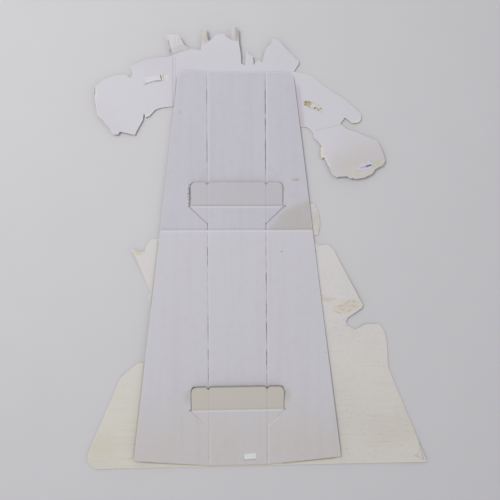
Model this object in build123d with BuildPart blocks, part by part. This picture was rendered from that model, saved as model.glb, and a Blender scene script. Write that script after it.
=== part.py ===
"""Die-cut cardboard display stand with its easel folded flat, lying on its front face.

Millimetres. X runs to the right as seen from the back, Y from the base edge to the head, Z up.
The origin is the middle of the part's footprint, on the surface that it lies on.
Places on the sheets are measured from the foot of the easel's centre line.
"""

import os
from math import atan2, cos, radians, sin, tan

from build123d import *

# Sheets
face_thickness = 1.2
board_thickness = 3.2
easel_thickness = 3.0
tape_thickness = 0.3
label_thickness = 0.25

# Die-cut edge: reach of each lobe from the centre line
left_foot_reach = 637
left_skirt_reach = 395
left_lobe_reach = 432
left_hand_reach = 570
peak_reach = 156
right_hand_reach = 615
right_lobe_reach = 343
right_knee_reach = 519
right_skirt_step = 67
right_foot_reach = 787
left_foot_radius = 50
right_foot_radius = 6

# Die-cut edge: rise of each lobe above the one before it, up the left side, and drop down the right side
left_skirt_height = 429
left_lobe_rise = 467
left_hand_rise = 584
head_rise = 289
peak_drop = 18
right_hand_drop = 517
right_lobe_drop = 252
right_knee_drop = 344
right_skirt_drop = 78

# Ends of the facing that stand above the head edge
tip_rise = 31

# Packing creases pressed into the back of the board, placed from the two hands
crease_width = 5
crease_depth = 0.35
left_crease_inset = 314
left_crease_rise = 95
left_crease_length = 260
right_crease_inset = 228
right_crease_rise = 139
right_crease_length = 130
right_crease_slope = 12

# Easel sheet
easel_foot = 4
easel_head_gap = 152
easel_top_half = 235
easel_bottom_half = 423
easel_corner_radius = 42
wing_foot_rise = 30
wing_lift_angle = 2.5
score_half = 120
fold_height = 966
fold_width = 6
fold_depth = 0.5

# Perforation along the two scores
slit_length = 33
slit_pitch = 52
slit_width = 1.6

# Lock tabs, one above the packing fold and one near the foot
upper_hinge_rise = 100
lower_hinge_height = 231
upper_tab_lean = 8
lower_tab_lean = 12
tab_half = 189
tab_length = 96
tab_corner_radius = 22
tab_notch_width = 20
tab_notch_depth = 10
tab_kerf = 2.5
tab_hook = 8
gusset_kerf = 1.4
gusset_drop = 72
upper_gusset_slot = 26
lower_gusset_slot = 8

# Tape patches, placed from the two hands
white_tape_length = 76
white_tape_width = 25
white_tape_inset = 237
white_tape_rise = 105
white_tape_slope = 10
torn_tape_length = 82
torn_tape_width = 25
torn_tape_inset = 296
torn_tape_rise = 227
torn_tape_slope = -23
tape_bite = 6

# Stickers, one on the right hand and one at the foot of the easel
hand_label_length = 68
hand_label_width = 27
hand_label_inset = 84
hand_label_drop = 23
hand_label_slope = 15
base_label_length = 52
base_label_width = 27
base_label_offset = 48
base_label_height = 37
base_label_slope = 4
label_corner_radius = 3


def placed(reach, height, offsets):
    """Points at the given offsets from the anchor of one lobe."""
    return [(reach + across, height + up) for across, up in offsets]


def mirrored(right):
    """A chain of points and its mirror image, joined across the centre line."""
    return [(-across, up) for across, up in reversed(right)] + right


# Heights above the base edge
left_lobe_height = left_skirt_height + left_lobe_rise
left_hand_height = left_lobe_height + left_hand_rise
head_height = left_hand_height + head_rise
peak_height = head_height - peak_drop
right_hand_height = head_height - right_hand_drop
right_lobe_height = right_hand_height - right_lobe_drop
right_knee_height = right_lobe_height - right_knee_drop
right_skirt_height = right_knee_height - right_skirt_drop
right_skirt_reach = right_knee_reach + right_skirt_step
tip_height = head_height + tip_rise
easel_height = head_height - easel_head_gap
upper_hinge_height = fold_height + upper_hinge_rise

# Points of the die-cut edge, lobe by lobe, walked clockwise from the left foot
left_skirt_edge = placed(-left_skirt_reach, left_skirt_height, [(-80, -58), (-17, -6)])
left_skirt_top = placed(-left_skirt_reach, left_skirt_height, [(-17, -6), (0, 0), (18, -2)])
left_lobe_edge = placed(
    -left_lobe_reach,
    left_lobe_height,
    [(97, -256), (80, -248), (68, -197), (81, -178), (76, -171), (21, -38), (0, 0), (35, -16), (57, -15)],
)
left_lobe_top = placed(-left_lobe_reach, left_lobe_height, [(57, -15), (68, 17), (86, 37)])
left_waist = placed(-left_lobe_reach, left_lobe_height, [(86, 37), (140, 35)])
left_arm_underside = placed(
    -left_hand_reach,
    left_hand_height,
    [(335, -2), (262, -12), (241, -20), (217, -45), (201, -53), (195, -33), (190, -63), (164, -110), (158, -124)],
)
left_hand_edge = placed(
    -left_hand_reach,
    left_hand_height,
    [(158, -124), (135, -119), (99, -111), (89, -123), (75, -123), (65, -115), (59, -101), (35, -70), (9, -44)]
    + [(3, 1), (-1, 17), (1, 37), (-8, 58), (4, 72)],
)
left_arm_top = placed(-left_hand_reach, left_hand_height, [(4, 72), (40, 99), (80, 115), (125, 119)])
left_arm_notch = placed(
    -left_hand_reach,
    left_hand_height,
    [(125, 119), (131, 113), (141, 107), (150, 120), (145, 156)],
)
left_shoulder = placed(-left_hand_reach, left_hand_height, [(145, 156), (182, 173), (238, 188), (295, 194)])
head_edge = placed(
    0,
    head_height,
    [(-247, -84), (-203, -69), (-181, -65), (-143, -67), (-140, -46), (-115, -36), (-99, -23), (-83, -5), (-50, 0)]
    + [(-38, -13), (-17, -27), (12, -31), (16, -55), (21, -88), (22, -119), (38, -125), (40, -84), (44, -67)]
    + [(57, -82), (70, -90), (74, -125), (79, -112), (98, -104), (108, -114)],
)
peak_edge = placed(
    peak_reach,
    peak_height,
    [(-40, -65), (-33, -42), (-13, -22), (-6, -5), (0, 0), (23, -11), (53, -44), (103, -89), (103, -101), (83, -131)],
)
right_arm_top = placed(
    right_hand_reach,
    right_hand_height,
    [(-327, 359), (-301, 351), (-257, 312), (-224, 290), (-162, 251), (-108, 203)],
)
right_arm_end = placed(right_hand_reach, right_hand_height, [(-108, 203), (-97, 181), (-112, 158)])
right_hand_notch = placed(
    right_hand_reach,
    right_hand_height,
    [(-112, 158), (-137, 156), (-150, 168), (-166, 179), (-184, 155), (-160, 131), (-133, 122), (-62, 94), (-33, 81)],
)
right_hand_end = placed(right_hand_reach, right_hand_height, [(-33, 81), (-12, 42), (0, 0)])
right_hand_edge = placed(
    right_hand_reach,
    right_hand_height,
    [(0, 0), (-10, -18), (-42, -35), (-55, -54), (-88, -70), (-126, -76), (-136, -72), (-147, -74), (-159, -65)]
    + [(-193, -66), (-203, -69), (-220, -58)],
)
right_arm_underside = placed(
    right_hand_reach,
    right_hand_height,
    [(-220, -58), (-240, -14), (-253, 15), (-266, 8), (-268, 31), (-267, 52), (-262, 60), (-279, 81), (-295, 95)]
    + [(-296, 107), (-302, 122), (-314, 134), (-323, 140), (-380, 143)],
)
right_lobe_top = placed(right_lobe_reach, right_lobe_height, [(-73, 76), (-21, 74)])
right_lobe_side = placed(right_lobe_reach, right_lobe_height, [(-21, 74), (0, 0), (-8, -53)])
right_lobe_notch = placed(right_lobe_reach, right_lobe_height, [(-8, -53), (-27, -54), (-27, -76), (-7, -98)])
right_knee_top = placed(right_knee_reach, right_knee_height, [(-146, 250), (-122, 232), (-107, 205)])
right_knee_edge = placed(right_knee_reach, right_knee_height, [(-107, 205), (0, 0), (-6, -13), (-58, -48)])
right_knee_notch = placed(right_knee_reach, right_knee_height, [(-58, -48), (-68, -65), (-46, -93)])
right_knee_foot = placed(right_knee_reach, right_knee_height, [(-46, -93), (-36, -102), (-25, -99), (8, -81)])
right_skirt_top = placed(right_skirt_reach, right_skirt_height, [(0, 0), (19, -25), (35, -88), (40, -185)])

# Points of the three narrow ends of the facing, below the highest of them
tip_edges = [
    [(-263, -160), (-263, -122), (-275, -85), (-280, -50), (-274, -43), (-238, -42), (-230, -48), (-209, -80)]
    + [(-183, -94), (-183, -160)],
    [(-139, -100), (-138, -18), (-131, -8), (-121, -18), (-115, -42), (-108, -70), (-105, -100)],
    [(-17, -90), (-17, -9), (-11, 0), (6, -10), (10, -25), (13, -62), (13, -90)],
]


def foot_turn(reach, skirt, radius):
    """Reach of a rounded foot whose sharp corner lies at the given reach, below the given point of the skirt."""
    corner_angle = atan2(skirt[1], reach - abs(skirt[0]))
    return reach - radius / tan(corner_angle / 2) + radius


# Middle of the footprint, from the foot of the centre line
left_extent = foot_turn(left_foot_reach, left_skirt_edge[0], left_foot_radius)
right_extent = foot_turn(right_foot_reach, right_skirt_top[-1], right_foot_radius)
middle_x = (right_extent - left_extent) / 2
middle_y = tip_height / 2

# Planes of the sheets, each with its origin at the foot of the centre line
front_of_board = Plane((-middle_x, -middle_y, face_thickness))
back_of_board = front_of_board.offset(board_thickness)
back_of_easel = back_of_board.offset(easel_thickness)
cut_height = 10 * easel_thickness

# Outline shared by the board and its facing
with BuildSketch(front_of_board) as die_cut:
    with BuildLine():
        Line((-left_foot_reach, 0), left_skirt_edge[0])
        Polyline(*left_skirt_edge)
        ThreePointArc(*left_skirt_top)
        Line(left_skirt_top[-1], left_lobe_edge[0])
        Polyline(*left_lobe_edge)
        ThreePointArc(*left_lobe_top)
        Polyline(*left_waist)
        Line(left_waist[-1], left_arm_underside[0])
        Polyline(*left_arm_underside)
        Polyline(*left_hand_edge)
        Spline(*left_arm_top)
        Polyline(*left_arm_notch)
        Spline(*left_shoulder)
        Line(left_shoulder[-1], head_edge[0])
        Polyline(*head_edge)
        Line(head_edge[-1], peak_edge[0])
        Polyline(*peak_edge)
        Line(peak_edge[-1], right_arm_top[0])
        Polyline(*right_arm_top)
        ThreePointArc(*right_arm_end)
        Polyline(*right_hand_notch)
        ThreePointArc(*right_hand_end)
        Polyline(*right_hand_edge)
        Polyline(*right_arm_underside)
        Line(right_arm_underside[-1], right_lobe_top[0])
        Polyline(*right_lobe_top)
        ThreePointArc(*right_lobe_side)
        Polyline(*right_lobe_notch)
        Line(right_lobe_notch[-1], right_knee_top[0])
        ThreePointArc(*right_knee_top)
        Polyline(*right_knee_edge)
        ThreePointArc(*right_knee_notch)
        Polyline(*right_knee_foot)
        Line(right_knee_foot[-1], right_skirt_top[0])
        Spline(*right_skirt_top)
        Line(right_skirt_top[-1], (right_foot_reach, 0))
        Line((right_foot_reach, 0), (-left_foot_reach, 0))
    make_face()
    feet = die_cut.vertices().group_by(Axis.Y)[0].sort_by(Axis.X)
    fillet(feet[0], radius=left_foot_radius)
    feet = die_cut.vertices().group_by(Axis.Y)[0].sort_by(Axis.X)
    fillet(feet[-1], radius=right_foot_radius)

# Facing glued to the front of the board
with BuildPart() as face_sheet:
    extrude(die_cut.sketch, amount=-face_thickness)
    with BuildSketch(front_of_board):
        for tip in tip_edges:
            Polygon(*placed(0, tip_height, tip))
    extrude(amount=-face_thickness)
face_sheet.part.label = "face_sheet"

# Board with its two packing creases
with BuildPart() as backing_board:
    extrude(die_cut.sketch, amount=board_thickness)
    with BuildSketch(back_of_board):
        with Locations((-left_hand_reach + left_crease_inset, left_hand_height + left_crease_rise)):
            Rectangle(crease_width, left_crease_length)
        with Locations((right_hand_reach - right_crease_inset, right_hand_height + right_crease_rise)):
            Rectangle(right_crease_length, crease_width, rotation=right_crease_slope)
    extrude(amount=-crease_depth, mode=Mode.SUBTRACT)
backing_board.part.label = "backing_board"


def bent_sheet(low, high, near, far):
    """The easel's bent sheet between two heights above its glued face, and between two heights up the stand."""
    lift = (easel_bottom_half - score_half) * tan(radians(wing_lift_angle))
    right = [
        (score_half, low),
        (easel_bottom_half, lift + low),
        (easel_bottom_half, lift + high),
        (score_half, high),
    ]
    across = Plane(back_of_board.from_local_coords((0, near, 0)), x_dir=(1, 0, 0), z_dir=(0, -1, 0))
    with BuildPart() as sheet:
        with BuildSketch(across):
            Polygon(*mirrored(right))
        extrude(amount=near - far)
    return sheet.part


# Lock tab laid flat, with its hinge along X and a notch at either score in its free end
with BuildSketch() as lock_tab:
    with Locations((0, tab_length / 2)):
        RectangleRounded(2 * tab_half, tab_length, tab_corner_radius)
    with Locations((0, tab_length / 4)):
        Rectangle(2 * tab_half, tab_length / 2)
    with Locations((-score_half, tab_length), (score_half, tab_length)):
        Polygon(
            (-tab_notch_width / 2, 0),
            (0, -tab_notch_depth),
            (tab_notch_width / 2, 0),
            mode=Mode.SUBTRACT,
        )

# Opening round the tab: its outline widened by the kerf, with a hook beside the hinge and the cut of each gusset
window_half = tab_half + tab_kerf
with BuildSketch() as tab_window:
    add(lock_tab.sketch)
    offset(amount=tab_kerf)
    with Locations((0, -tab_kerf / 2)):
        Rectangle(2 * window_half, tab_kerf, mode=Mode.SUBTRACT)
    for side in (-1, 1):
        Polygon(
            (side * score_half, 0),
            (side * window_half, tab_hook),
            (side * (tab_half + tab_hook + gusset_kerf), 0),
            (side * score_half, -gusset_drop - gusset_kerf),
        )

# Gussets beside the hinge, in the plane of the middle strip
with BuildSketch() as gussets:
    for side in (-1, 1):
        Polygon(
            (side * score_half, 0),
            (side * (tab_half + tab_hook), 0),
            (side * score_half, -gusset_drop),
        )

# Easel: one sheet bent at two scores, with two lock tabs that lean out of it
with BuildPart() as easel:
    add(bent_sheet(0, easel_thickness, easel_foot, easel_height))
    right_edge = [
        (score_half, easel_foot),
        (easel_bottom_half, easel_foot + wing_foot_rise),
        (easel_top_half, easel_height),
    ]
    with BuildSketch(back_of_board) as plan:
        Polygon(*mirrored(right_edge))
        fillet(plan.vertices().group_by(Axis.Y)[-1], radius=easel_corner_radius)
    extrude(amount=cut_height, mode=Mode.INTERSECT)

    # Packing fold, pressed across the whole sheet
    fold_bottom = easel_thickness - fold_depth
    fold_near = fold_height - fold_width / 2
    fold_far = fold_height + fold_width / 2
    add(bent_sheet(fold_bottom, cut_height, fold_near, fold_far), mode=Mode.SUBTRACT)

    # Openings of the lock tabs, slots below their gussets, and the perforation of both scores
    upper_top = upper_hinge_height + tab_length
    lower_top = lower_hinge_height + tab_length
    lower_gusset = lower_hinge_height - gusset_drop - lower_gusset_slot
    with BuildSketch(back_of_board):
        for hinge, slot in ((upper_hinge_height, upper_gusset_slot), (lower_hinge_height, lower_gusset_slot)):
            with Locations((0, hinge)):
                add(tab_window.sketch)
            with Locations((0, hinge - gusset_drop - slot / 2)):
                with GridLocations(2 * score_half, 0, 2, 1):
                    Rectangle(slit_width, slot)
        for low, high in ((easel_foot, lower_gusset), (lower_top, fold_height), (upper_top, easel_height)):
            with Locations((0, (low + high) / 2)):
                with GridLocations(2 * score_half, slit_pitch, 2, int((high - low) // slit_pitch)):
                    Rectangle(slit_width, slit_length)
    extrude(amount=cut_height, mode=Mode.SUBTRACT)

    # Gussets that stay in their openings
    with BuildSketch(back_of_board):
        with Locations((0, upper_hinge_height), (0, lower_hinge_height)):
            add(gussets.sketch)
    extrude(amount=easel_thickness)

    # Lock tabs, each leaning out about its hinge
    for hinge, lean in ((upper_hinge_height, upper_tab_lean), (lower_hinge_height, lower_tab_lean)):
        tilt = radians(lean)
        hinge_middle = back_of_board.from_local_coords((0, hinge, 0))
        with BuildSketch(Plane(hinge_middle, x_dir=(1, 0, 0), z_dir=(0, -sin(tilt), cos(tilt)))):
            add(lock_tab.sketch)
        extrude(amount=easel_thickness)
easel.part.label = "easel"


def torn_strip(length, width):
    """Outline of a strip of tape that was torn off at both ends."""
    return [
        (-length / 2, -width / 2),
        (length / 2 - tape_bite, -width / 2),
        (length / 2, -width / 6),
        (length / 2 - tape_bite, width / 6),
        (length / 2, width / 2),
        (tape_bite - length / 2, width / 2),
        (-length / 2, width / 6),
        (tape_bite - length / 2, -width / 6),
    ]


# White tape patch on the left arm
with BuildPart() as white_tape:
    with BuildSketch(back_of_board):
        with Locations((-left_hand_reach + white_tape_inset, left_hand_height + white_tape_rise)):
            Polygon(*torn_strip(white_tape_length, white_tape_width), rotation=white_tape_slope)
    extrude(amount=tape_thickness)
white_tape.part.label = "white_tape"

# Torn remnant of tape on the right arm
with BuildPart() as torn_tape:
    with BuildSketch(back_of_board):
        with Locations((right_hand_reach - torn_tape_inset, right_hand_height + torn_tape_rise)):
            Polygon(*torn_strip(torn_tape_length, torn_tape_width), rotation=torn_tape_slope)
    extrude(amount=tape_thickness)
torn_tape.part.label = "torn_tape"

# Sticker on the right hand
with BuildPart() as hand_label:
    with BuildSketch(back_of_board):
        with Locations((right_hand_reach - hand_label_inset, right_hand_height - hand_label_drop)):
            RectangleRounded(hand_label_length, hand_label_width, label_corner_radius, rotation=hand_label_slope)
    extrude(amount=label_thickness)
hand_label.part.label = "hand_label"

# Sticker at the foot of the easel
with BuildPart() as base_label:
    with BuildSketch(back_of_easel):
        with Locations((base_label_offset, base_label_height)):
            RectangleRounded(base_label_length, base_label_width, label_corner_radius, rotation=base_label_slope)
    extrude(amount=label_thickness)
base_label.part.label = "base_label"

os.makedirs("parts", exist_ok=True)
export_step(face_sheet.part, "parts/face_sheet.step")
export_step(backing_board.part, "parts/backing_board.step")
export_step(easel.part, "parts/easel.step")
export_step(white_tape.part, "parts/white_tape.step")
export_step(torn_tape.part, "parts/torn_tape.step")
export_step(hand_label.part, "parts/hand_label.step")
export_step(base_label.part, "parts/base_label.step")
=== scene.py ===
"""Looks of a die-cut cardboard display stand that lies on its front face, seen from above.

Metres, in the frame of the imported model: X to the right as seen from the back, Y from the base edge to
the head, Z up. Places on the sheets are measured from the foot of the easel's centre line, as a distance
across and a distance up.
"""

import math

import bmesh
import bpy
import numpy as np
from mathutils import Matrix, Vector


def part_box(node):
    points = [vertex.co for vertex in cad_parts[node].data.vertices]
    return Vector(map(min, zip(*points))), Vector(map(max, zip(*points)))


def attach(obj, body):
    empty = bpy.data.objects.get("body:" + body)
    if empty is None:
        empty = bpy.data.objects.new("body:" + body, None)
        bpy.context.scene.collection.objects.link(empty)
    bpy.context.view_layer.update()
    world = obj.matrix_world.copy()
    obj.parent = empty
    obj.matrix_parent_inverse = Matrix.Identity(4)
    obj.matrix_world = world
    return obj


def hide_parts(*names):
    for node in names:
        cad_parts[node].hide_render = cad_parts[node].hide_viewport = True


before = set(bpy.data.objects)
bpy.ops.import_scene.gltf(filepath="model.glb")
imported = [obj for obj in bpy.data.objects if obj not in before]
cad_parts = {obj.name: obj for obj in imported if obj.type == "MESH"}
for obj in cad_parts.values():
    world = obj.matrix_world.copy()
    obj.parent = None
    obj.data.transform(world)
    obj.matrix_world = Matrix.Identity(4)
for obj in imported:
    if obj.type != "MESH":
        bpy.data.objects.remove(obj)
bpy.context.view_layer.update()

# Places that the frame gives
easel_low, easel_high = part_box("easel")
board_low, board_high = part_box("backing_board")
foot_x = (easel_low.x + easel_high.x) / 2
foot_y = board_low.y
board_back = board_high.z

# Thickness of the sheets
face_thickness = 0.0012
board_thickness = 0.0032
easel_thickness = 0.003

# Lines of the folded easel
score_half = 0.120
fold_up = 0.966
upper_hinge_up = 1.066
lower_hinge_up = 0.231
tab_half = 0.189
tab_length = 0.096
gusset_reach = 0.197
gusset_drop = 0.072
upper_gusset_slot = 0.026
slit_half = 0.0008

# Stretches of the two scores where the perforation has opened
left_score_cuts = ((1.49, 1.54), (1.25, 1.34), (0.83, 0.895), (0.53, 0.61), (0.44, 0.475), (0.36, 0.40))
right_score_cuts = (
    (1.45, 1.54),
    (1.38, 1.42),
    (1.225, 1.336),
    (0.748, 0.785),
    (0.633, 0.657),
    (0.534, 0.587),
    (0.419, 0.464),
)

# Packing creases of the board
left_crease_across = -0.256
right_crease_across = 0.387
right_crease_up = 1.391
right_crease_turn = math.radians(12)

# Corrugation
board_flute_pitch = 0.0072
easel_flute_pitch = 0.0066

# Grids and limits of the sheets' meshes
grid_pitch = 0.008
facing_pitch = 0.020
tip_pitch = 0.004
flat_normal = 0.5
wall_share = 0.6
sharp_angle = math.radians(25)
merge_distance = 1e-6
dissolve_angle = 0.002


def spot(across, up):
    """A place on the sheets as X and Y of the frame."""
    return foot_x + across, foot_y + up


def smoothed(value, low, high):
    """0 below the first level and 1 above the second, with a smooth turn between them."""
    share = np.clip((value - low) / (high - low), 0, 1)
    return share * share * (3 - 2 * share)


# How the sheets bend

left_arm_slope = 0.042
right_hand_slope = 0.045
right_arm_lift = 0.003
lobe_lift = 0.008
left_foot_lift = 0.003
right_foot_lift = 0.004
head_lift = 0.016
wave_height = 0.0006
tip_step_run = 0.006
tip_roll_run = 0.03
left_wing_sway = 0.002
right_wing_sway = -0.009
wing_reach = 0.3
fold_dip = 0.0012
upper_tab_slide = 0.0022
lower_tab_slide = 0.0036
gusset_slide = 0.0011
left_slit_open = 0.30
right_slit_open = 0.50
left_slit_worked = 0.7
right_slit_worked = 0.9
foot_slit_closing = 0.30
near_line = 0.0003


def board_rise(x, y):
    """Height of the board above its flat place.

    Past a crease, the left arm and the right hand rise by a slope times the distance from it. The right
    arm, the lobes, the feet and the head curl up by smooth steps, and a low sine wave runs up both sides.
    """
    across = x - foot_x
    up = y - foot_y
    left_arm = left_arm_slope * np.maximum(left_crease_across - across, 0) * (up > 1.15)
    past_crease = (across - right_crease_across) * math.sin(right_crease_turn)
    past_crease = past_crease - (up - right_crease_up) * math.cos(right_crease_turn)
    right_hand = right_hand_slope * np.maximum(past_crease, 0) * (up > 1.12) * (across > 0.30)
    right_arm = right_arm_lift * smoothed(across, 0.30, 0.50) * (up > 1.12)
    left_lobe = lobe_lift * smoothed(-across, 0.335, 0.45) * (up > 0.6) * (up < 1.1)
    right_knee = lobe_lift * smoothed(across, 0.38, 0.53) * (up > 0.59) * (up < 1.0)
    left_foot = left_foot_lift * smoothed(-across, 0.45, 0.64) * smoothed(-up, -0.30, 0.0)
    right_foot = right_foot_lift * smoothed(across, 0.60, 0.79) * smoothed(-up, -0.30, 0.0)
    head = head_lift * smoothed(up, 1.60, 1.74)
    wave = wave_height * (1 + np.sin(9 * up + 4 * across)) * smoothed(np.abs(across), 0.30, 0.42)
    arms = left_arm + right_hand + right_arm
    return arms + left_lobe + right_knee + left_foot + right_foot + head + wave


# Free tips of the facing: middle, half width, height and slope of the starting line, step, bend and roll
facing_tips = (
    (-0.2315, 0.052, 1.692, 0.33, 0.0032, 1.2, 0.16),
    (-0.122, 0.020, 1.735, 0.50, 0.0, 2.0, 0.34),
    (-0.002, 0.019, 1.743, -0.10, 0.0, 2.0, 0.34),
)


def facing_rise(x, y):
    """The facing follows the board, and each of its tips curls up past the head edge.

    A tip rises by its step, then as a square of the distance past its line, and rolls as a parabola of
    the distance from its middle.
    """
    across = x - foot_x
    up = y - foot_y
    rise = board_rise(x, y)
    for middle, half, start, slope, step, bend, roll in facing_tips:
        beside = across - middle
        past = np.maximum(up - start - slope * beside, 0) * (np.abs(beside) < half)
        crown = roll * half * np.maximum(1 - (beside / half) ** 2, 0)
        rise = rise + step * smoothed(past, 0, tip_step_run) + bend * past ** 2
        rise = rise + crown * smoothed(past, 0, tip_roll_run)
    return rise


def raised(rise):
    """A bend that moves each point of a sheet up by a function of its X and Y."""

    def bend(points):
        bent = points.copy()
        bent[:, 2] += rise(points[:, 0], points[:, 1])
        return bent

    return bend


def easel_bend(points):
    """The wings of the easel sway along their length, its lock tabs and lower gussets fill their openings,
    and the perforation is nearly closed where it hasn't been worked open.

    The left wing rises and the right wing sinks with the distance past its score; both dip along the
    packing fold. A tab's points, which lie above the sheet inside its opening, slide up by a share of
    their distance from the hinge. The slanted edge of a lower gusset moves out along its normal, and the
    sides of a slit move towards its middle.
    """
    across = points[:, 0] - foot_x
    up = points[:, 1] - foot_y
    right = across > 0
    past_score = np.maximum(np.abs(across) - score_half, 0)
    swell = 0.6 + 0.4 * np.sin(5.2 * up - 2.3 * right)
    sway = np.where(right, right_wing_sway, left_wing_sway) * past_score / wing_reach * swell
    dip = fold_dip * np.exp(-np.abs(up - fold_up) / 0.035) * smoothed(past_score, 0.03, 0.10)
    bent = points.copy()
    bent[:, 2] += sway - dip
    above_sheet = points[:, 2] > board_back + easel_thickness + 0.0005
    for hinge, slide in ((upper_hinge_up, upper_tab_slide), (lower_hinge_up, lower_tab_slide)):
        in_opening = (np.abs(across) < tab_half + 0.001) & (up > hinge) & (up < hinge + tab_length)
        bent[:, 1] += slide * (up - hinge) / tab_length * above_sheet * in_opening

    side = np.sign(across)
    slant = math.hypot(gusset_drop, gusset_reach - score_half)
    normal_across = gusset_drop / slant
    normal_up = (score_half - gusset_reach) / slant
    past_slant = (np.abs(across) - gusset_reach) * normal_across + (up - lower_hinge_up) * normal_up
    beside_gusset = np.abs(up - lower_hinge_up + gusset_drop / 2) < gusset_drop / 2 + near_line
    on_slant = (np.abs(past_slant) < near_line) & beside_gusset
    bent[:, 0] += gusset_slide * side * normal_across * on_slant
    bent[:, 1] += gusset_slide * normal_up * on_slant

    at_foot = up < lower_hinge_up - gusset_drop
    open_share = np.where(right, right_slit_open, left_slit_open) - foot_slit_closing * at_foot
    scores = (
        (left_score_cuts, ~right, left_slit_worked),
        (right_score_cuts, right, right_slit_worked),
    )
    for spans, of_side, worked in scores:
        for low, high in spans:
            open_share = np.where(of_side & (up > low) & (up < high), worked, open_share)
    slot_top = upper_hinge_up - gusset_drop
    in_slot = (up > slot_top - upper_gusset_slot - 0.001) & (up < slot_top + 0.002)
    open_share = np.where(in_slot, 1.0, open_share)
    from_score = np.abs(across) - score_half
    on_slit = np.abs(from_score) < slit_half + 0.0002
    bent[:, 0] -= side * from_score * (1 - open_share) * on_slit
    return bent


# Sheets cut from the solids

def numbers_of(items, name, width, kind):
    """One property of all vertices, faces or corners of a mesh, as an array with a row for each."""
    flat = np.empty(len(items) * width, kind)
    items.foreach_get(name, flat)
    return flat.reshape(-1, width)


def sharp_edges(mesh, normals, face_of_corner):
    """For each edge of a mesh, whether its two faces turn by more than the sharp angle."""
    edge_of_corner = numbers_of(mesh.loops, "edge_index", 1, np.int32)[:, 0]
    order = np.argsort(edge_of_corner, kind="stable")
    first, second = order[:-1], order[1:]
    turn = (normals[face_of_corner[first]] * normals[face_of_corner[second]]).sum(1)
    shared = edge_of_corner[first] == edge_of_corner[second]
    sharp = np.zeros(len(mesh.edges), bool)
    sharp[edge_of_corner[first[shared & (turn < math.cos(sharp_angle))]]] = True
    return sharp


def distance_to(points, targets, rows=1500):
    """Distance in plan from each point to the nearest target, in blocks of rows to save memory."""
    found = []
    for block in np.array_split(points[:, :2], max(1, len(points) // rows)):
        apart = block[:, None, :] - targets[None, :, :2]
        found.append(np.sqrt((apart ** 2).sum(2).min(1)))
    return np.concatenate(found)


def set_attribute(mesh, name, kind, domain, values):
    """One value for each vertex or edge, in the place of any that the mesh has under that name."""
    if name in mesh.attributes:
        mesh.attributes.remove(mesh.attributes[name])
    mesh.attributes.new(name, kind, domain).data.foreach_set("value", values)


def cuts(low, high, pitch):
    """Places of evenly spaced cuts between two ends."""
    return np.arange(low + pitch / 2, high, pitch)


def bent_copy(node, name, thickness, pitch, bend, more_cuts=((), ())):
    """A copy of a sheet's mesh, merged, cut along a square grid, and bent by a function of its points.

    More cuts across X and across Y can make the grid finer in one region.
    Walls as high as the sheet is thick are its cut edges, and take the second material; the low walls of
    a pressed crease don't. Vertices keep two numbers: rim, the distance to the nearest cut edge in metres,
    and depth, which is 1 on the back of the sheet and 0 on its front.
    """
    shape = bmesh.new()
    shape.from_mesh(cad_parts[node].data)
    bmesh.ops.remove_doubles(shape, verts=shape.verts, dist=merge_distance)
    bmesh.ops.dissolve_limit(shape, angle_limit=dissolve_angle, verts=shape.verts, edges=shape.edges)
    low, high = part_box(node)
    for axis, normal in enumerate((Vector((1, 0, 0)), Vector((0, 1, 0)))):
        for place in (*cuts(low[axis], high[axis], pitch), *more_cuts[axis]):
            everything = shape.verts[:] + shape.edges[:] + shape.faces[:]
            point = normal * float(place)
            bmesh.ops.bisect_plane(shape, geom=everything, plane_co=point, plane_no=normal)
    mesh = bpy.data.meshes.new(name)
    shape.to_mesh(mesh)
    shape.free()
    mesh.attributes.remove(mesh.attributes["custom_normal"])

    points = numbers_of(mesh.vertices, "co", 3, np.float32).astype(float)
    normals = numbers_of(mesh.polygons, "normal", 3, np.float32)
    sizes = numbers_of(mesh.polygons, "loop_total", 1, np.int32)[:, 0]
    corners = numbers_of(mesh.loops, "vertex_index", 1, np.int32)[:, 0]
    starts = np.concatenate([[0], np.cumsum(sizes)[:-1]])
    face_of_corner = np.repeat(np.arange(len(sizes)), sizes)
    corner_height = points[corners, 2]
    reach = np.maximum.reduceat(corner_height, starts) - np.minimum.reduceat(corner_height, starts)
    cut_edge = (np.abs(normals[:, 2]) < flat_normal) & (reach > wall_share * thickness)
    on_edge = np.zeros(len(points), bool)
    on_edge[corners[cut_edge[face_of_corner]]] = True
    on_back = np.zeros(len(points))
    on_back[corners[normals[face_of_corner, 2] > flat_normal]] = 1

    set_attribute(mesh, "rim", "FLOAT", "POINT", distance_to(points, points[on_edge]))
    set_attribute(mesh, "depth", "FLOAT", "POINT", on_back)
    set_attribute(mesh, "sharp_edge", "BOOLEAN", "EDGE", sharp_edges(mesh, normals, face_of_corner))
    mesh.vertices.foreach_set("co", bend(points).astype(np.float32).ravel())
    mesh.polygons.foreach_set("material_index", cut_edge.astype(np.int32))
    mesh.polygons.foreach_set("use_smooth", np.ones(len(mesh.polygons), bool))
    mesh.update()
    return bpy.data.objects.new(name, mesh)


# Strips of tape and stickers

def laid_strip(place, turn, length, width, outline, height, columns=64, rows=20):
    """A thin strip of paper over a grid of two parameters from -1 to 1, along and across it.

    The outline function gives how far each end and side stands in or out, and the height function how far
    the paper stands off the sheet below. The grid is turned and moved to its place.
    """
    along, across = np.meshgrid(np.linspace(-1, 1, columns), np.linspace(-1, 1, rows), indexing="ij")
    end, side = outline(along, across)
    x = along * (length / 2 + end)
    y = across * (width / 2 + side)
    centre_x, centre_y = spot(*place)
    turned_x = centre_x + x * math.cos(turn) - y * math.sin(turn)
    turned_y = centre_y + x * math.sin(turn) + y * math.cos(turn)
    return turned_x, turned_y, height(along, across)


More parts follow.
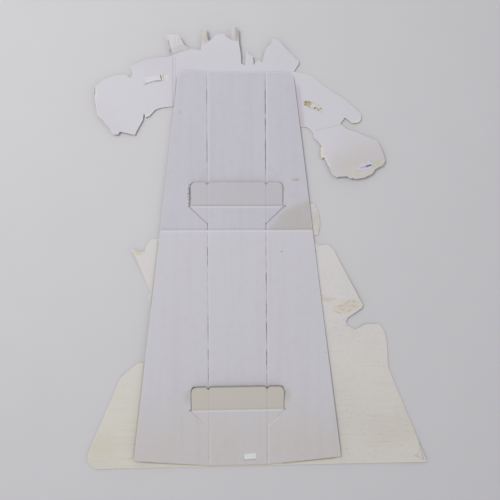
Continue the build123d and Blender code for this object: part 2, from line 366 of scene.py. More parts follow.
def grid_mesh(name, x, y, z, thickness):
    """A mesh through a grid of points, as thick as paper, with the grid's parameters as its UV map."""
    columns, rows = x.shape
    points = np.stack([x, y, z], axis=2).reshape(-1, 3)
    corner = np.arange(columns * rows).reshape(columns, rows)
    near, far = corner[:-1], corner[1:]
    quads = np.stack([near[:, :-1], far[:, :-1], far[:, 1:], near[:, 1:]], axis=2).reshape(-1, 4)
    mesh = bpy.data.meshes.new(name)
    mesh.from_pydata(points.tolist(), [], quads.tolist())
    steps = np.meshgrid(np.linspace(0, 1, columns), np.linspace(0, 1, rows), indexing="ij")
    uv = np.stack(steps, axis=2)
    layer = mesh.uv_layers.new(name="paper")
    layer.data.foreach_set("uv", uv.reshape(-1, 2)[quads.ravel()].astype(np.float32).ravel())
    mesh.polygons.foreach_set("use_smooth", np.ones(len(mesh.polygons), bool))
    mesh.update()
    piece = bpy.data.objects.new(name, mesh)
    paper = piece.modifiers.new("paper", "SOLIDIFY")
    paper.thickness = thickness
    paper.offset = 1
    return piece


# Shader maths

class Paint:
    """A shader value: arithmetic on it adds Math nodes, and node() adds a node of any other kind."""

    def __init__(self, tree, socket):
        self.tree = tree
        self.socket = socket

    def node(self, kind, settings, inputs, output=0):
        """Adds a node with its settings, fills its sockets with values or links, and gives one output."""
        made = self.tree.nodes.new(kind)
        for name, value in settings.items():
            setattr(made, name, value)
        for name, value in inputs.items():
            if isinstance(value, Paint):
                self.tree.links.new(value.socket, made.inputs[name])
            else:
                made.inputs[name].default_value = value
        return Paint(self.tree, made.outputs[output])

    def math(self, operation, first, second=0.0):
        return self.node("ShaderNodeMath", {"operation": operation}, {0: first, 1: second})

    def __add__(self, other):
        return self.math("ADD", self, other)

    def __radd__(self, other):
        return self.math("ADD", other, self)

    def __sub__(self, other):
        return self.math("SUBTRACT", self, other)

    def __rsub__(self, other):
        return self.math("SUBTRACT", other, self)

    def __mul__(self, other):
        return self.math("MULTIPLY", self, other)

    def __rmul__(self, other):
        return self.math("MULTIPLY", other, self)

    def __abs__(self):
        return self.math("ABSOLUTE", self)


def tone(red, green, blue):
    """A colour from its display values of 0 to 255."""
    parts = np.array([red, green, blue]) / 255
    linear = np.where(parts <= 0.04045, parts / 12.92, ((parts + 0.055) / 1.055) ** 2.4)
    return (*linear.tolist(), 1.0)


def ease(value, low, high):
    """0 at the first level and 1 at the second, with a smooth turn between them."""
    inputs = {"Value": value, "From Min": low, "From Max": high}
    return value.node("ShaderNodeMapRange", {"interpolation_type": "SMOOTHSTEP"}, inputs)


def mix(first, second, share):
    """The first colour where the share is 0 and the second where it is 1."""
    return share.node("ShaderNodeMix", {"data_type": "RGBA"}, {0: share, 6: first, 7: second}, 2)


def split(place):
    """The three numbers of a place."""
    return [place.node("ShaderNodeSeparateXYZ", {}, {"Vector": place}, axis) for axis in range(3)]


def noise(place, scale, detail=3.0, roughness=0.5):
    """Cloudy noise about 0.5, with the given number of waves to a metre."""
    inputs = {"Vector": place, "Scale": scale, "Detail": detail, "Roughness": roughness}
    return place.node("ShaderNodeTexNoise", {}, inputs)


def stretched(place, x_scale, y_scale):
    """The place with its two directions scaled apart, for grain that runs one way."""
    scale = (x_scale, y_scale, 1.0)
    return place.node("ShaderNodeMapping", {}, {"Vector": place, "Scale": scale})


def local(place, across, up, turn=0.0, half_length=1.0, half_width=1.0):
    """The place measured from a spot on the sheet, turned, in half lengths and half widths."""
    inputs = {
        "Vector": place,
        "Location": (*spot(across, up), 0.0),
        "Rotation": (0.0, 0.0, turn),
        "Scale": (half_length, half_width, 1.0),
    }
    return place.node("ShaderNodeMapping", {"vector_type": "TEXTURE"}, inputs)


def blot(place, across, up, half_length, half_width, turn=0.0, ragged=0.5, soft=0.6, grain=40.0):
    """A soft oval patch with an uneven edge: 1 in its middle and 0 outside."""
    near = local(place, across, up, turn, half_length, half_width)
    radius = place.node("ShaderNodeVectorMath", {"operation": "LENGTH"}, {0: near}, 1)
    radius = radius + (noise(place, grain, 4.0, 0.6) - 0.5) * (2 * ragged)
    return ease(radius, 1.0, 1.0 - soft)


def stroke(place, start, end, half_width):
    """A straight line between two spots of the sheet: 1 on the line and 0 beside it."""
    run = (end[0] - start[0], end[1] - start[1])
    length = math.hypot(*run)
    middle = ((start[0] + end[0]) / 2, (start[1] + end[1]) / 2)
    x, y, _ = split(local(place, *middle, math.atan2(run[1], run[0])))
    beside = ease(abs(y), half_width, 0.3 * half_width)
    within = ease(abs(x), length / 2, length / 2 - 2 * half_width)
    return beside * within


def patched(place, colour, patches):
    """Lays soft patches over a colour: each has its tint, its strength and what blot asks for."""
    for tint, share, *patch in patches:
        colour = mix(colour, tint, blot(place, *patch) * share)
    return colour


def ruled(place, colour, lines):
    """Draws straight lines over a colour: each has its tint, its strength and what stroke asks for."""
    for tint, share, *line in lines:
        colour = mix(colour, tint, stroke(place, *line) * share)
    return colour


def attribute(place, name):
    """A number that the mesh keeps at each vertex."""
    return place.node("ShaderNodeAttribute", {"attribute_name": name}, {}, 2)


def finished(name, finish, relief, specular=0.3):
    """A material: the finish function gives colour, roughness and height from the place on the sheet."""
    material = bpy.data.materials.new(name)
    material.use_nodes = True
    tree = material.node_tree
    shader = tree.nodes["Principled BSDF"]
    shader.inputs["Specular IOR Level"].default_value = specular
    place = Paint(tree, tree.nodes.new("ShaderNodeTexCoord").outputs["Object"])
    colour, roughness, height = finish(place)
    bump = place.node("ShaderNodeBump", {}, {"Height": height, "Distance": relief})
    tree.links.new(colour.socket, shader.inputs["Base Color"])
    tree.links.new(roughness.socket, shader.inputs["Roughness"])
    tree.links.new(bump.socket, shader.inputs["Normal"])
    return material


# Finishes of the board, its facing and the easel

paper_white = tone(201, 200, 205)
paper_warm = tone(208, 205, 203)
paper_cream = tone(206, 203, 191)
hand_warm = tone(192, 187, 184)
paper_shade = tone(193, 190, 192)
worn_cream = tone(218, 213, 200)
dirt_brown = tone(150, 140, 122)
# Painted soft shadow beside the right wing
wing_shadow_grey = tone(178, 175, 179)
rub_pink = tone(196, 186, 190)
tip_olive = tone(190, 187, 178)
easel_grey = tone(190, 188, 195)
# Pale grey of the easel: painted light below the fold, also its random pale tone and cut-edge liner
easel_pale_and_lit = tone(197, 195, 201)
easel_warm = tone(193, 189, 187)
easel_edge_white = tone(207, 205, 208)
# Painted shade of the leaning lock tabs, the lower one warmed like a painted reflection
upper_tab_shade = tone(184, 182, 181)
lower_tab_shade_warm = tone(192, 188, 177)
# Grey of a damp stain, also painted as soft shade beside the lower tab
damp_stain_and_shade_grey = tone(177, 173, 167)
# Painted shade in creases, cut lines and gaps and under lifted edges, also one dark spot
shade_and_spot_dark = tone(140, 136, 142)
# Painted highlights beside creases, scores and folds, also pale torn fibre
highlight_and_fibre_pale = tone(212, 210, 215)
# Painted shade in gaps and slits, and a purple-grey one behind the lower tab
gap_shade_dark = tone(52, 46, 50)
gap_shade_purple = tone(104, 97, 108)
# Bare kraft of cut edges, also painted as brown shade below the wing feet
kraft_and_shade_brown = tone(171, 152, 124)
# Painted shade in the hollows of the flutes and in a split edge
hollow_shade_dark = tone(96, 84, 68)
stain_orange = tone(192, 172, 150)
# Olive of stains, also painted as highlights at the lower tab's top corners
olive_stain_and_highlight = tone(196, 190, 168)
stain_yellow = tone(192, 189, 158)


def flutes(coordinate, pitch):
    """The ripple of the corrugation: a sine of the distance across the flutes."""
    return coordinate.math("SINE", coordinate * (2 * math.pi / pitch)) * 0.5 + 0.5


def speckle(place, scale, level):
    """Small specks of dirt: the peaks of a fine noise."""
    return ease(noise(place, scale, 2.0, 0.6), level, level + 0.06)


def between(coordinate, low, high, soft):
    """1 between two levels of a coordinate and 0 outside them, with soft ends."""
    middle = (low + high) / 2
    half = (high - low) / 2
    return ease(abs(coordinate - middle), half + soft, half)


def on_upright(x, across, half_width):
    """1 on a line that runs up the sheet at one distance across, and 0 beside it."""
    return ease(abs(x - (foot_x + across)), half_width, 0.3 * half_width)


def along_spans(y, spans, soft=0.012):
    """1 along the given stretches of a line that runs up the sheet, and 0 between them."""
    total = 0.0
    for low, high in spans:
        total = total + between(y, foot_y + low, foot_y + high, soft)
    return total


# Streaks on the knee: across, up and turn
knee_streaks = (
    (0.425, 0.652, 0.20),
    (0.432, 0.638, -0.15),
    (0.455, 0.668, 0.55),
    (0.478, 0.672, -0.35),
    (0.480, 0.652, 0.10),
    (0.418, 0.626, -0.30),
    (0.462, 0.632, 0.35),
)

# Patches on the board: tint, strength, across, up, half length, half width, turn, ragged, soft and grain
board_patches = (
    # Knee: an orange band, an olive cast and the streaks
    (stain_orange, 0.40, 0.377, 0.681, 0.046, 0.012, 0.02, 0.55, 0.7),
    (stain_orange, 0.30, 0.352, 0.696, 0.018, 0.006, -0.04, 0.7, 0.8),
    (olive_stain_and_highlight, 0.5, 0.460, 0.650, 0.085, 0.042, 0.30, 0.7, 0.9, 30.0),
    *((stain_orange, 0.75, *place, 0.026, 0.0046, turn, 0.8, 0.9, 80.0) for *place, turn in knee_streaks),
    # Warm tone of the right hand and the right lobe
    (hand_warm, 0.80, 0.515, 1.225, 0.260, 0.170, 0.3, 0.5, 1.0, 7.0),
    (hand_warm, 0.60, 0.330, 1.010, 0.035, 0.075, 0.0, 0.6, 0.9, 30.0),
    (olive_stain_and_highlight, 0.45, 0.335, 1.000, 0.035, 0.075, 0.0, 1.2, 0.9, 60.0),
    (paper_cream, 0.35, 0.520, 1.215, 0.110, 0.050, 0.3, 0.5, 1.0, 9.0),
    # Yellowed spots beside the sticker and on the left lobe
    (stain_yellow, 0.9, 0.584, 1.243, 0.028, 0.022, 0.3, 0.7, 1.0),
    (stain_yellow, 0.5, 0.497, 1.205, 0.016, 0.030, 0.3, 0.7, 1.0),
    (stain_yellow, 0.60, -0.405, 0.880, 0.036, 0.016, -0.3, 0.5, 0.8),
    # Dirt at both feet
    (olive_stain_and_highlight, 0.35, -0.560, 0.10, 0.10, 0.09, 0.0, 0.8, 0.9, 9.0),
    (olive_stain_and_highlight, 0.20, 0.62, 0.13, 0.18, 0.08, 0.0, 0.8, 0.9, 9.0),
    # Torn liner past the end of the white tape
    (worn_cream, 0.5, -0.288, 1.594, 0.018, 0.013, 0.2, 0.7, 0.7, 120.0),
)

# Lines on the board: tint, strength, two ends and half width
board_lines = (
    # Painted shade and highlight along the packing creases of the left arm and the right hand
    (shade_and_spot_dark, 0.22, (-0.2590, 1.37), (-0.2570, 1.68), 0.0040),
    (shade_and_spot_dark, 0.16, (-0.2490, 1.37), (-0.2470, 1.68), 0.0040),
    (highlight_and_fibre_pale, 0.25, (-0.254, 1.37), (-0.252, 1.68), 0.0030),
    (shade_and_spot_dark, 0.18, (0.325, 1.377), (0.452, 1.405), 0.0025),
    # Painted shade along both wings' edges, a painted soft shadow band beside the right wing, and a
    # pinkish rub mark
    (shade_and_spot_dark, 0.35, (-0.4265, 0.034), (-0.2385, 1.600), 0.0050),
    (shade_and_spot_dark, 0.22, (0.4265, 0.034), (0.2385, 1.600), 0.0050),
    (wing_shadow_grey, 0.5, (0.250, 1.58), (0.277, 1.36), 0.0180),
    (rub_pink, 0.6, (0.256, 1.52), (0.274, 1.36), 0.0080),
    # Painted brown shade on the board below the wing feet
    (kraft_and_shade_brown, 0.55, (-0.398, 0.026), (-0.154, 0.008), 0.0055),
    (kraft_and_shade_brown, 0.55, (0.175, 0.006), (0.410, 0.026), 0.0055),
    # Painted shadow below the lifted lower edge of the white tape
    (shade_and_spot_dark, 0.55, (-0.378, 1.5590), (-0.353, 1.5690), 0.0034),
    (shade_and_spot_dark, 0.55, (-0.356, 1.5680), (-0.333, 1.5745), 0.0034),
    (shade_and_spot_dark, 0.55, (-0.336, 1.5740), (-0.300, 1.5790), 0.0034),
    # Painted shade in the creases of the crumpled right corner
    (shade_and_spot_dark, 0.45, (0.750, 0.088), (0.774, 0.006), 0.0030),
    (shade_and_spot_dark, 0.25, (0.728, 0.030), (0.776, 0.012), 0.0030),
    (shade_and_spot_dark, 0.20, (0.756, 0.060), (0.741, 0.020), 0.0030),
)

# Frayed stretches of the board's edge: across, up, half width, half height, reach and strength
frayed_edges = (
    (-0.576, 1.530, 0.022, 0.055, 0.030, 0.45),
    (-0.330, 1.440, 0.045, 0.030, 0.012, 0.60),
    (0.365, 1.275, 0.040, 0.070, 0.014, 0.55),
    (0.500, 1.412, 0.045, 0.030, 0.012, 0.50),
)


def board_gap_shade(place, colour):
    """Painted shade on the board where it shows through the perforation and beside the lock tabs."""
    x, y, _ = split(place)
    below_easel = between(y, foot_y + 0.010, foot_y + 1.595, 0.004)
    below_score = on_upright(x, -score_half, 0.006) * 0.20 + on_upright(x, score_half, 0.006) * 0.40
    colour = mix(colour, gap_shade_dark, below_score * below_easel)
    aside = abs(x - foot_x)
    beside_tab = ease(aside, tab_half - 0.010, tab_half - 0.004) * ease(aside, 0.205, 0.200)
    upper = foot_y + upper_hinge_up
    upper_window = between(y, upper + 0.022, upper + tab_length, 0.010)
    colour = mix(colour, gap_shade_dark, beside_tab * upper_window * 0.8)
    lower = foot_y + lower_hinge_up
    lower_window = between(y, lower, lower + tab_length + 0.004, 0.002)
    behind_tab = between(x, foot_x - 0.200, foot_x + 0.200, 0.002)
    return mix(colour, gap_shade_purple, behind_tab * lower_window * 0.25)


def board_finish(place):
    """White liner: cream towards the foot, cloudy, faintly rippled, stained and worn, with painted shade
    and highlight at creases, edges and gaps.
    """
    x, y, _ = split(place)
    cloud = noise(place, 3.5, 4.0, 0.55)
    fibre = noise(place, 420.0, 4.0, 0.65)
    ripple = flutes(y + (cloud - 0.5) * 0.004, board_flute_pitch)
    low = ease(y, foot_y + 0.75, foot_y + 0.05)
    right = ease(x, foot_x - 0.2, foot_x + 0.6)
    darker_zone = ease(y, foot_y + 1.10, foot_y + 0.55)

    colour = mix(paper_white, paper_warm, ease(y, foot_y + 1.15, foot_y + 0.85))
    colour = mix(colour, paper_cream, low * (0.55 + 0.6 * cloud) * (1.1 - 0.35 * right))
    colour = mix(colour, paper_shade, ease(cloud, 0.45, 0.75) * 0.30)
    washboard = ease(noise(stretched(place, 5.0, 130.0), 1.0, 2.0), 0.56, 0.70)
    smear = noise(stretched(place, 45.0, 120.0), 1.0, 4.0, 0.7)
    grime = ease(smear, 0.54, 0.70) * ease(cloud, 0.35, 0.60)
    colour = mix(colour, dirt_brown, washboard * low * 0.13)
    colour = mix(colour, dirt_brown, grime * darker_zone * (0.18 + 0.14 * right))
    colour = mix(colour, dirt_brown, speckle(place, 110.0, 0.67) * (0.06 + 0.17 * darker_zone))
    colour = mix(colour, dirt_brown, (fibre - 0.5) * 0.08)
    colour = patched(place, colour, board_patches)
    colour = ruled(place, colour, board_lines)
    colour = board_gap_shade(place, colour)

    rim = attribute(place, "rim")
    patchy = ease(noise(place, 14.0, 3.0), 0.35, 0.65)
    worn = ease(rim + (noise(place, 120.0, 3.0) - 0.5) * 0.006, 0.0045, 0.0) * (0.35 + 0.65 * patchy)
    worn = worn * (0.2 + 0.8 * ease(y, foot_y + 1.66, foot_y + 1.58))
    colour = mix(colour, worn_cream, worn * 0.8)
    frayed = rim + (noise(place, 70.0, 3.0, 0.6) - 0.5) * 0.016
    for across, up, half_width, half_height, reach, share in frayed_edges:
        stretch = blot(place, across, up, half_width, half_height, 0.0, 0.4)
        colour = mix(colour, worn_cream, stretch * ease(frayed, reach, reach / 3) * share)
    # Painted shade in a split of the left hand's edge
    split_edge = stroke(place, (-0.5715, 1.550), (-0.5705, 1.515), 0.0026)
    colour = mix(colour, hollow_shade_dark, split_edge * 0.65)

    dent = blot(place, -0.155, 1.435, 0.014, 0.02, 0.3, 0.4)
    crumple = noise(place, 26.0, 3.0) * blot(place, 0.735, 0.045, 0.06, 0.07, 0.0, 0.5)
    roughness = 0.78 + 0.2 * (fibre - 0.5) - 0.1 * worn
    height = ripple * 0.015 + fibre * 0.10 + cloud * 0.5 - worn * 0.25 - dent * 0.4 + crumple * 2.5
    return colour, roughness, height


# Painted shade along the sides of the facing's tips: tint, strength, two ends and half width
tip_shade_lines = (
    (shade_and_spot_dark, 0.55, (-0.2760, 1.7430), (-0.2630, 1.6850), 0.0050),
    (shade_and_spot_dark, 0.55, (-0.2700, 1.7100), (-0.2600, 1.6800), 0.0075),
    (shade_and_spot_dark, 0.55, (-0.2180, 1.7360), (-0.1900, 1.7080), 0.0045),
    (shade_and_spot_dark, 0.40, (-0.1400, 1.8050), (-0.1400, 1.7300), 0.0075),
    (shade_and_spot_dark, 0.60, (-0.1180, 1.7850), (-0.1130, 1.7400), 0.0030),
    (shade_and_spot_dark, 0.40, (-0.0190, 1.8050), (-0.0185, 1.7400), 0.0030),
    (shade_and_spot_dark, 0.40, (0.0020, 1.8050), (0.0060, 1.7350), 0.0080),
)


def facing_finish(place):
    """Smooth white card, bare and finely grained, with streaked, yellowed tips, yellowed edges and painted
    shade along the tips' sides.
    """
    x, y, _ = split(place)
    cloud = noise(place, 4.0, 4.0, 0.55)
    fibre = noise(place, 520.0, 3.0, 0.6)
    streak = noise(stretched(place, 160.0, 9.0), 1.0, 3.0)
    rim = attribute(place, "rim")
    tip = ease(y, foot_y + 1.69, foot_y + 1.74)
    narrow = tip * ease(x, foot_x - 0.165, foot_x - 0.160)
    colour = mix(paper_white, paper_cream, cloud * 0.25)
    colour = mix(colour, tip_olive, narrow * 0.7)
    colour = mix(colour, paper_shade, tip * ease(streak, 0.45, 0.70) * 0.8)
    colour = mix(colour, worn_cream, tip * ease(streak, 0.45, 0.25) * 0.45)
    colour = mix(colour, dirt_brown, (fibre - 0.5) * 0.08 + speckle(place, 190.0, 0.72) * 0.12)
    colour = mix(colour, worn_cream, ease(rim, 0.004, 0.0) * 0.6)
    colour = ruled(place, colour, tip_shade_lines)
    roughness = 0.55 + 0.25 * fibre
    height = fibre * 0.08 + cloud * 0.3 + streak * tip * 0.4
    return colour, roughness, height


def easel_scores(place, colour):
    """The two perforated scores: a patchy line of painted shade, darker where the perforation has opened,
    with a painted highlight beside it that fades at the tabs, and painted highlights along the lower
    gussets.
    """
    x, y, _ = split(place)
    shade_patchiness = 0.45 + 0.8 * noise(stretched(place, 0.0, 24.0), 1.0, 3.0)
    left_open = 0.15 + 0.58 * along_spans(y, left_score_cuts)
    right_open = 0.25 + 0.78 * along_spans(y, right_score_cuts)
    left_dark = on_upright(x, -score_half, 0.0024) * left_open * shade_patchiness
    right_dark = on_upright(x, score_half, 0.0028) * right_open * shade_patchiness
    left_pale = on_upright(x, 0.006 - score_half, 0.0040) * 0.30
    right_pale = on_upright(x, 0.0065 + score_half, 0.0045) * 0.35
    pale = left_pale + right_pale
    for hinge in (upper_hinge_up, lower_hinge_up):
        low_end = foot_y + hinge - gusset_drop
        pale = pale * (1 - 0.75 * between(y, low_end, foot_y + hinge + tab_length, 0.003))
    colour = mix(colour, highlight_and_fibre_pale, pale)
    for side, light in ((-1, 0.25), (1, 0.60)):
        top = (side * gusset_reach, lower_hinge_up - 0.003)
        bottom = (side * score_half, lower_hinge_up - gusset_drop - 0.003)
        colour = mix(colour, highlight_and_fibre_pale, stroke(place, top, bottom, 0.0040) * light)
    return mix(colour, gap_shade_dark, (left_dark + right_dark) * 0.6)


# Strokes of painted shade along the torn left side of the upper tab: two ends, half width and strength
torn_tab_shade_strokes = (
    ((-0.1925, 1.156), (-0.1900, 1.098), 0.0075, 0.60),
    ((-0.1910, 1.110), (-0.1890, 1.086), 0.0090, 0.80),
    ((-0.1895, 1.090), (-0.1990, 1.066), 0.0065, 0.70),
)


def torn_tab_side(place, colour):
    """The torn left side of the upper tab: pale fibre where a noise is low, painted shade where it is
    high, and strokes of painted shade.
    """
    x, y, _ = split(place)
    tear = noise(place, 95.0, 3.0, 0.6)
    beside = between(y, foot_y + upper_hinge_up + 0.004, foot_y + upper_hinge_up + 0.085, 0.008)
    pale = on_upright(x, -0.1985, 0.0060) * ease(tear, 0.50, 0.42)
    dark = on_upright(x, -0.1955, 0.0075) * ease(tear, 0.48, 0.56)
    colour = mix(colour, highlight_and_fibre_pale, pale * beside * 0.5)
    colour = mix(colour, shade_and_spot_dark, dark * beside * 0.8)
    for start, end, half_width, shade in torn_tab_shade_strokes:
        ragged = stroke(place, start, end, half_width) * (0.55 + 0.9 * tear)
        colour = mix(colour, shade_and_spot_dark, ragged * shade)
    return colour


def easel_lines(place, colour):
    """Scores, gussets, hinges and packing fold of the easel: lines of painted shade with painted
    highlights beside them.
    """
    colour = easel_scores(place, colour)
    # Painted shade along the upper gussets, at their low ends and at the right hinge corner
    for side in (-1, 1):
        top = (side * gusset_reach, upper_hinge_up)
        bottom = (side * score_half, upper_hinge_up - gusset_drop)
        colour = mix(colour, shade_and_spot_dark, stroke(place, top, bottom, 0.0048) * 0.30)
        colour = mix(colour, gap_shade_dark, blot(place, *bottom, 0.0055, 0.0070, 0.0, 0.3, 0.8) * 0.40)
    corner = blot(place, 0.1985, upper_hinge_up, 0.0060, 0.0060, 0.6, 0.4, 0.8)
    colour = mix(colour, gap_shade_dark, corner * 0.45)

    # Painted shade above each hinge and a painted highlight below it
    for hinge, shade, light in ((upper_hinge_up, 0.30, 0.45), (lower_hinge_up, 0.15, 0.55)):
        above = stroke(place, (-tab_half, hinge + 0.004), (tab_half, hinge + 0.004), 0.005)
        below = stroke(place, (-tab_half, hinge - 0.004), (tab_half, hinge - 0.004), 0.005)
        colour = mix(colour, shade_and_spot_dark, above * shade)
        colour = mix(colour, highlight_and_fibre_pale, below * light)
    colour = torn_tab_side(place, colour)

    # Painted shade above the packing fold and a painted highlight below it
    reach = 0.315
    fold_shade = stroke(place, (-reach, fold_up + 0.007), (reach, fold_up + 0.007), 0.005)
    fold_light = stroke(place, (-reach, fold_up - 0.002), (reach, fold_up - 0.002), 0.006)
    colour = mix(colour, shade_and_spot_dark, fold_shade * 0.18)
    return mix(colour, highlight_and_fibre_pale, fold_light * 0.50)


# Patches on the easel, as on the board
easel_patches = (
    # Smudges above the damp patch, and a dark spot below the fold
    (dirt_brown, 0.40, 0.232, 1.176, 0.011, 0.008, 0.3, 0.6, 0.9, 90.0),
    (dirt_brown, 0.40, 0.243, 1.173, 0.011, 0.008, -0.2, 0.6, 0.9, 90.0),
    (dirt_brown, 0.40, 0.251, 1.175, 0.011, 0.008, 0.5, 0.6, 0.9, 90.0),
    (shade_and_spot_dark, 0.6, 0.184, 0.879, 0.007, 0.004, 0.0, 0.4),
    # Painted soft shade beside the lower tab, and painted shade for a shallow dent on the left wing
    (damp_stain_and_shade_grey, 0.5, -0.205, 0.285, 0.022, 0.045, 0.0, 0.3, 1.0, 20.0),
    (damp_stain_and_shade_grey, 0.5, 0.205, 0.285, 0.022, 0.045, 0.0, 0.3, 1.0, 20.0),
    (shade_and_spot_dark, 0.22, -0.227, 1.450, 0.006, 0.014, 0.2, 0.6),
)


def easel_marks(place, colour, above_fold):
    """Marks of use on the easel: a damp patch beside the upper gusset, small smudges and a dark spot, with
    painted shade beside the lower tab and at a dent.
    """
    x, y, _ = split(place)
    across = x - foot_x
    up = y - foot_y
    cloud = noise(place, 14.0, 3.0)
    below_rise = ease(up - 0.45 * across + (cloud - 0.5) * 0.02, 0.976, 0.938)
    past_gusset = ease(across - 0.692 * up + (cloud - 0.5) * 0.012, -0.560, -0.512)
    damp = below_rise * past_gusset * above_fold
    colour = mix(colour, damp_stain_and_shade_grey, damp * (0.40 + 0.6 * cloud))
    return patched(place, colour, easel_patches)


def easel_finish(place):
    """Grey-white liner with upright flutes, lighter below the fold as painted light, with painted shade
    and corner highlights on the tabs, and worn edges.
    """
    x, y, _ = split(place)
    cloud = noise(place, 4.0, 4.0, 0.55)
    fibre = noise(place, 430.0, 4.0, 0.65)
    ripple = flutes(x + (cloud - 0.5) * 0.004, easel_flute_pitch)
    below_fold = ease(y, foot_y + fold_up + 0.002, foot_y + fold_up - 0.002)
    foot = ease(y, foot_y + 0.42, foot_y + 0.06)

    # Painted light: the half below the fold is lighter
    colour = mix(easel_grey, easel_pale_and_lit, below_fold)
    colour = mix(colour, easel_warm, foot * 0.9)
    colour = mix(colour, easel_pale_and_lit, ease(cloud, 0.42, 0.75) * 0.30)
    streak = noise(stretched(place, 34.0, 1.2), 1.0, 3.0)
    colour = mix(colour, dirt_brown, ease(streak, 0.45, 0.75) * 0.06)
    colour = mix(colour, dirt_brown, speckle(place, 120.0, 0.69) * 0.16)
    colour = mix(colour, dirt_brown, ease(noise(place, 45.0, 3.0, 0.6), 0.50, 0.75) * 0.07)
    colour = mix(colour, dirt_brown, (fibre - 0.5) * 0.08)
    colour = easel_marks(place, colour, 1 - below_fold)

    # Painted shade on the leaning lock tabs, with a warm painted reflection on the lower one
    on_tab = between(x, foot_x - tab_half, foot_x + tab_half, 0.001)
    tabs = ((upper_hinge_up, upper_tab_shade, 0.5), (lower_hinge_up, lower_tab_shade_warm, 0.9))
    for hinge, tint, share in tabs:
        inside = on_tab * between(y, foot_y + hinge, foot_y + hinge + tab_length, 0.001)
        colour = mix(colour, tint, inside * share)
    # Painted pale olive highlights at the top corners of the lower tab
    for side in (-1, 1):
        corner = blot(place, side * 0.163, lower_hinge_up + 0.076, 0.034, 0.022, 0.0, 0.5, 0.9, 25.0)
        colour = mix(colour, olive_stain_and_highlight, corner * 0.40 * on_tab)
    colour = easel_lines(place, colour)

    rim = attribute(place, "rim")
    outer = ease(abs(x - foot_x), 0.205, 0.212) + ease(y, foot_y + 1.595, foot_y + 1.605)
    worn = ease(rim + (noise(place, 130.0, 3.0) - 0.5) * 0.005, 0.0045, 0.0) * ease(outer, 0.0, 1.0)
    foot_edge = ease(rim, 0.0030, 0.0010) * ease(y, foot_y + 0.050, foot_y + 0.035)
    colour = mix(colour, easel_edge_white, worn * 0.6)
    colour = mix(colour, kraft_and_shade_brown, foot_edge * 0.5)
    roughness = 0.80 + 0.2 * (fibre - 0.5)
    height = ripple * 0.012 + fibre * 0.10 + cloud * 0.5 - worn * 0.2
    return colour, roughness, height


def cut_edge_finish(along_axis, pitch, liner):
    """The cut edge of corrugated board: two liners, and a fluted paper that waves between them, with
    painted shade in the hollows.
    """

    def finish(place):
        coordinate = split(place)[along_axis]
        depth = attribute(place, "depth")
        fibre = noise(place, 500.0, 3.0)
        wave = flutes(coordinate, pitch) * 0.62 + 0.19
        paper = ease(abs(depth - wave), 0.16, 0.09)
        skin = ease(abs(depth - 0.5), 0.38, 0.42)
        colour = mix(hollow_shade_dark, kraft_and_shade_brown, paper)
        colour = mix(colour, liner, skin)
        colour = mix(colour, dirt_brown, fibre * 0.25)
        roughness = 0.85 + 0.1 * fibre
        return colour, roughness, paper * 0.5 + skin * 0.8 + fibre * 0.1

    return finish


def card_edge_finish(place):
    """The cut edge of solid card: pale core with a fibrous grain."""
    fibre = noise(stretched(place, 900.0, 900.0), 1.0, 3.0)
    colour = mix(paper_cream, worn_cream, fibre)
    return colour, 0.8 + 0.15 * fibre, fibre


# Finishes of the tapes and stickers

white_tape_place = (-0.333, 1.585)
white_tape_turn = math.radians(10)
torn_tape_place = (0.319, 1.479)
torn_tape_turn = math.radians(-23)
hand_label_place = (0.531, 1.229)
hand_label_turn = math.radians(15)
base_label_place = (0.048, 0.037)
base_label_turn = math.radians(4)

tape_white = tone(209, 208, 213)
tape_grey = tone(200, 198, 200)
tape_crinkle = tone(186, 180, 166)
tape_end = tone(211, 212, 200)
tape_tear = tone(104, 102, 88)
torn_brown = tone(142, 122, 84)
torn_tan = tone(184, 169, 134)
torn_cream = tone(200, 190, 160)
torn_white = tone(206, 202, 196)
torn_green = tone(203, 204, 192)
torn_speck = tone(88, 76, 62)
sticker_white = tone(206, 204, 217)
sticker_streak = tone(182, 178, 194)
ink_pale = tone(150, 150, 172)
ink_dark = tone(70, 70, 98)
base_white = tone(214, 216, 213)
base_scuff = tone(192, 193, 188)
# Painted shade along the base sticker's lifted edges
base_shade = tone(156, 160, 152)

# Dark specks on the torn tape: across, up and half length
torn_specks = (
    (0.2905, 1.4945, 0.0044),
    (0.2985, 1.4895, 0.0034),
    (0.3060, 1.4850, 0.0040),
    (0.3080, 1.4925, 0.0030),
    (0.3245, 1.4700, 0.0062),
    (0.3300, 1.4740, 0.0034),
    (0.3400, 1.4625, 0.0052),
    (0.3355, 1.4695, 0.0040),
    (0.3480, 1.4680, 0.0046),
)


def white_tape_finish(place):
    """White paper tape, crinkled across its length, with a torn end that is yellowed past a dark tear."""
    along, across, _ = split(local(place, *white_tape_place, white_tape_turn))
    fibre = noise(place, 480.0, 4.0, 0.65)
    crinkle = noise(stretched(place, 420.0, 90.0), 1.0, 2.0)
    from_tear = abs(along - 0.0285 + (fibre - 0.5) * 0.003 + across * 0.08)
    tear = ease(from_tear, 0.0030, 0.0016) * ease(across, -0.009, -0.006)
    colour = mix(tape_white, tape_grey, ease(fibre, 0.4, 0.75))
    colour = mix(colour, tape_crinkle, ease(crinkle, 0.62, 0.80) * 0.25)
    colour = mix(colour, tape_end, ease(along, 0.029, 0.031) * 0.8)
    colour = mix(colour, tape_tear, tear * 0.85)
    return colour, 0.7 + 0.2 * fibre, crinkle * 0.8 + fibre * 0.2


